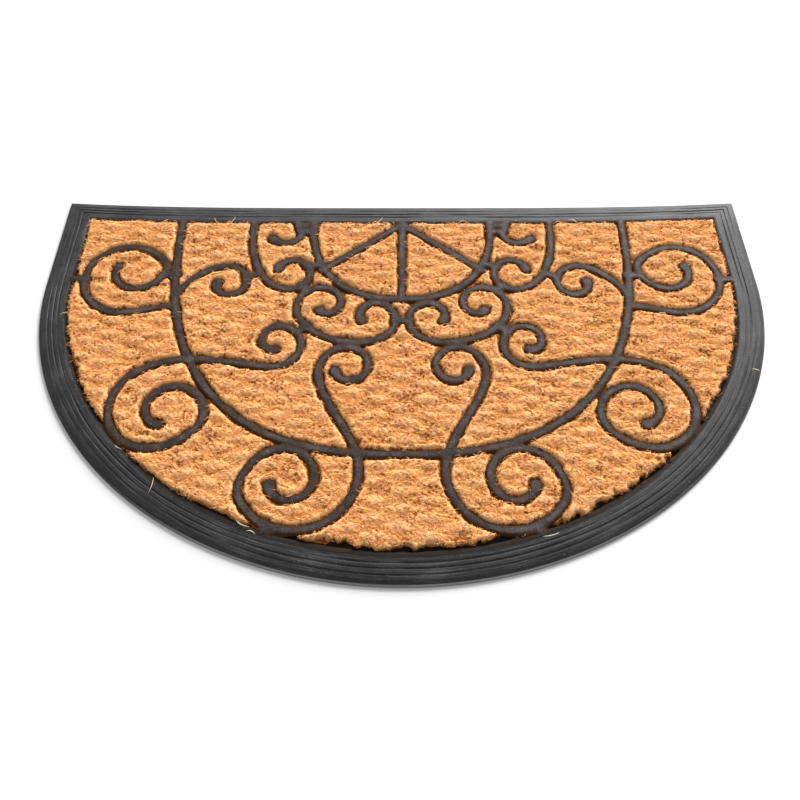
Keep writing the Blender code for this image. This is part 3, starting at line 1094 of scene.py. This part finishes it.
def fibre_tree():
    """Scatters fibres over a surface: each lies on it along the rows, bowed, and thins to its tips."""
    names = ("Density", "Length", "Radius", "Slant", "Spread", "Lift")
    floats = ((name, "Float") for name in names)
    group = geometry_group("coir_fibres", *floats, ("Knots", "Int"), ("Seed", "Int"))
    tree = Tree(group)
    given = tree.node("NodeGroupInput").outputs
    density, length, radius, slant, spread, lift = (Value(tree, given[name]) for name in names)
    seed = Value(tree, given["Seed"])

    def luck(low, high, offset):
        """A random number for each fibre."""
        values = {2: low, 3: high, "Seed": seed + offset}
        return tree.number("FunctionNodeRandomValue", {"data_type": "FLOAT"}, values, output=1)

    points = tree.node(
        "GeometryNodeDistributePointsOnFaces", {"distribute_method": "RANDOM"},
        {"Mesh": given["Geometry"], "Density": density, "Seed": seed})
    straight = tree.node(
        "GeometryNodeCurvePrimitiveLine", {}, {"Start": (-0.5, 0.0, 0.0), "End": (0.5, 0.0, 0.0)})
    values = {"Curve": straight.outputs[0], "Count": given["Knots"]}
    knotted = tree.node("GeometryNodeResampleCurve", {}, values)
    turn = tree.vector(0.0, 0.0, slant + luck(-1.0, 1.0, 1) * spread)
    near_edge = (tree.carried("gap") / SHORT_AT_EDGE).fade(-0.5, 1.0)
    size = length * luck(SHORTEST_SHARE, LONGEST_SHARE, 2) * near_edge
    placed = tree.node(
        "GeometryNodeInstanceOnPoints", {},
        {"Points": points.outputs[0], "Instance": knotted.outputs[0],
         "Rotation": turn, "Scale": tree.vector(size, size, size)})
    shaded = tree.store(placed.outputs[0], "shade", luck(0.0, 1.0, 3), "INSTANCE")
    bowed = tree.store(shaded, "bow", luck(-1.0, 1.0, 4), "INSTANCE")
    real = tree.node("GeometryNodeRealizeInstances", {}, {"Geometry": bowed})
    x, y, _ = tree.parts(tree.node("GeometryNodeInputPosition").outputs[0])
    ray = tree.node(
        "GeometryNodeRaycast", {"data_type": "FLOAT"},
        {"Target Geometry": given["Geometry"], "Attribute": tree.carried("height"),
         "Source Position": tree.vector(x, y, RAY_START), "Ray Direction": (0.0, 0.0, -1.0),
         "Ray Length": RAY_LENGTH})
    landed = tree.parts(ray.outputs["Hit Position"])[2]
    on_coir = Value(tree, ray.outputs["Is Hit"])
    bed = landed * on_coir + (1.0 - on_coir) * (REST_ON_RUBBER * MM)
    share = Value(tree, tree.node("GeometryNodeSplineParameter").outputs["Factor"])
    from_middle = (share * 2.0 - 1.0).math("ABSOLUTE")
    bow = tree.carried("bow")
    rise = lift * (1.0 - from_middle * from_middle * TIP_DROP) * (bow * LIFT_LUCK + 1.0)
    side = bow * length * BOW_SHARE * (1.0 - from_middle * from_middle)
    ahead_x, ahead_y, _ = tree.parts(tree.node("GeometryNodeInputTangent").outputs[0])
    settled = tree.vector(x - side * ahead_y, y + side * ahead_x, bed + rise)
    # Each fibre takes the coir's painted light and shade tone from where its ray lands.
    toned = tree.store(real.outputs[0], "height", ray.outputs["Attribute"], "POINT")
    laid = tree.node("GeometryNodeSetPosition", {}, {"Geometry": toned, "Position": settled})
    thickness = radius * (1.0 - from_middle * from_middle * TIP_TAPER)
    ring = tree.node("GeometryNodeCurvePrimitiveCircle", {}, {"Resolution": FIBRE_SIDES, "Radius": 1.0})
    solid = tree.node(
        "GeometryNodeCurveToMesh", {},
        {"Curve": laid.outputs[0], "Profile Curve": ring.outputs[0], "Scale": thickness,
         "Fill Caps": True})
    tree.output(solid.outputs[0], given["Material"])
    return group


def loose_fibres(coir):
    """Every sort of loose fibre, each a piece with its own seed."""
    group = fibre_tree()
    made = []
    for number, row in enumerate(FIBRE_SORTS):
        name, density, length, radius, slant, spread, lift, knots, brown, pale = row
        fibres = grown(
            name, coir, group, Density=density, Length=length * MM, Radius=radius * MM,
            Slant=math.radians(slant), Spread=math.radians(spread), Lift=lift * MM, Knots=knots,
            Seed=FIRST_SEED + number * SEED_STEP, Material=fibre_finish(name, brown, pale))
        made.append(fibres)
    return made


# Single stray fibres that lie over the rubber

STRAY_FIBRES = (
    # x, y, length, heading in degrees, bend
    (-222.0, -134.0, 16.0, 82.0, 1.5),
    (-260.0, -96.0, 9.0, 150.0, -1.0),
    (-139.0, -172.0, 14.0, -28.0, 2.0),
    (-130.0, -178.0, 9.0, -20.0, -1.0),
    (-186.0, 190.0, 13.0, 60.0, 2.0),
    (-206.0, 191.0, 9.0, 120.0, -1.5),
    (-262.0, 189.0, 11.0, 35.0, 1.5),
    (-24.0, 190.0, 12.0, 50.0, 1.0),
    (66.0, 189.0, 10.0, 20.0, -1.0),
    (190.0, 190.0, 12.0, 150.0, 2.0),
    (128.0, -182.0, 15.0, 14.0, 1.5),
    (-171.0, 142.0, 12.0, -30.0, 2.0),
    (-344.0, 60.0, 9.0, 20.0, 1.0),
    (344.0, -10.0, 8.0, 160.0, -1.0),
    (-215.0, -120.0, 10.0, 10.0, 1.0),
)
STRAY_RADIUS = 0.38
STRAY_SEGMENTS = 8
STRAY_RISE = 1.6
STRAY_TAPER = 0.7
STRAY_COLOUR = (0.80, 0.66, 0.47)


def stray_fibres():
    """Short bowed hairs that have worked loose from the coir."""
    bm = bmesh.new()
    for x, y, length, heading, bend in STRAY_FIBRES:
        angle = math.radians(heading)
        ahead = Vector((math.cos(angle), math.sin(angle), 0.0))
        aside = Vector((-ahead.y, ahead.x, 0.0))
        rings = []
        for step in range(STRAY_SEGMENTS + 1):
            share = 2.0 * step / STRAY_SEGMENTS - 1.0
            level = REST_ON_RUBBER + STRAY_RISE * (1.0 - share * share)
            centre = Vector((x, y, level)) + ahead * (0.5 * length * share)
            centre += aside * (bend * share * share)
            radius = STRAY_RADIUS * (1.0 - STRAY_TAPER * share * share)
            ring = []
            for corner in range(FIBRE_SIDES):
                turn = 2.0 * math.pi * corner / FIBRE_SIDES
                offset = aside * math.cos(turn) + Vector((0.0, 0.0, math.sin(turn)))
                ring.append(bm.verts.new((centre + offset * radius) * MM))
            rings.append(ring)
        for lower, upper in zip(rings, rings[1:]):
            for corner in range(FIBRE_SIDES):
                after = (corner + 1) % FIBRE_SIDES
                bm.faces.new((lower[corner], lower[after], upper[after], upper[corner]))
        bm.faces.new(list(reversed(rings[0])))
        bm.faces.new(rings[-1])
    bmesh.ops.recalc_face_normals(bm, faces=bm.faces)
    mesh = bpy.data.meshes.new("stray_fibres")
    bm.to_mesh(mesh)
    bm.free()
    mesh.shade_smooth()
    finish = Finish("stray_coir")
    finish.set(Base_Color=(*STRAY_COLOUR, 1.0), Roughness=0.7)
    return new_object("stray_fibres", mesh, finish.material)


# Floor and light

FLOOR_SIZE = 6.0
FLOOR_GREY = (0.76, 0.76, 0.76)
KEY_PLACE = (3.76, 7.16, 3.95)
KEY_SIZE = 4.6
KEY_POWER = 1740.0
WORLD_STRENGTH = 0.55


def studio():
    """A white world, one broad lamp from behind and to the right, and a pale floor."""
    scene = bpy.context.scene
    scene.view_settings.view_transform = "Standard"
    world = bpy.data.worlds.new("studio")
    scene.world = world
    world.use_nodes = True
    background = world.node_tree.nodes["Background"]
    background.inputs["Color"].default_value = (1.0, 1.0, 1.0, 1.0)
    background.inputs["Strength"].default_value = WORLD_STRENGTH
    light = bpy.data.lights.new("key", "AREA")
    light.size = KEY_SIZE
    light.energy = KEY_POWER
    key = bpy.data.objects.new("key", light)
    key.location = KEY_PLACE
    key.rotation_euler = (-Vector(KEY_PLACE)).to_track_quat("-Z", "Y").to_euler()
    scene.collection.objects.link(key)
    bm = bmesh.new()
    bmesh.ops.create_grid(bm, x_segments=1, y_segments=1, size=FLOOR_SIZE)
    mesh = bpy.data.meshes.new("floor")
    bm.to_mesh(mesh)
    bm.free()
    finish = Finish("white_floor")
    finish.set(Base_Color=(*FLOOR_GREY, 1.0), Roughness=0.9)
    floor = new_object("floor", mesh, finish.material)


def main():
    rim = rubber_rim()
    bars = scrollwork()
    coir = woven_coir()
    fibres = loose_fibres(coir)
    fibres.append(stray_fibres())
    close_coir(coir)
    for piece in (rim, bars):
        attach(piece, BODY)
        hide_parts("rubber_moulding")
    for piece in (coir, *fibres):
        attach(piece, BODY)
        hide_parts("coir_panel")
    studio()


main()
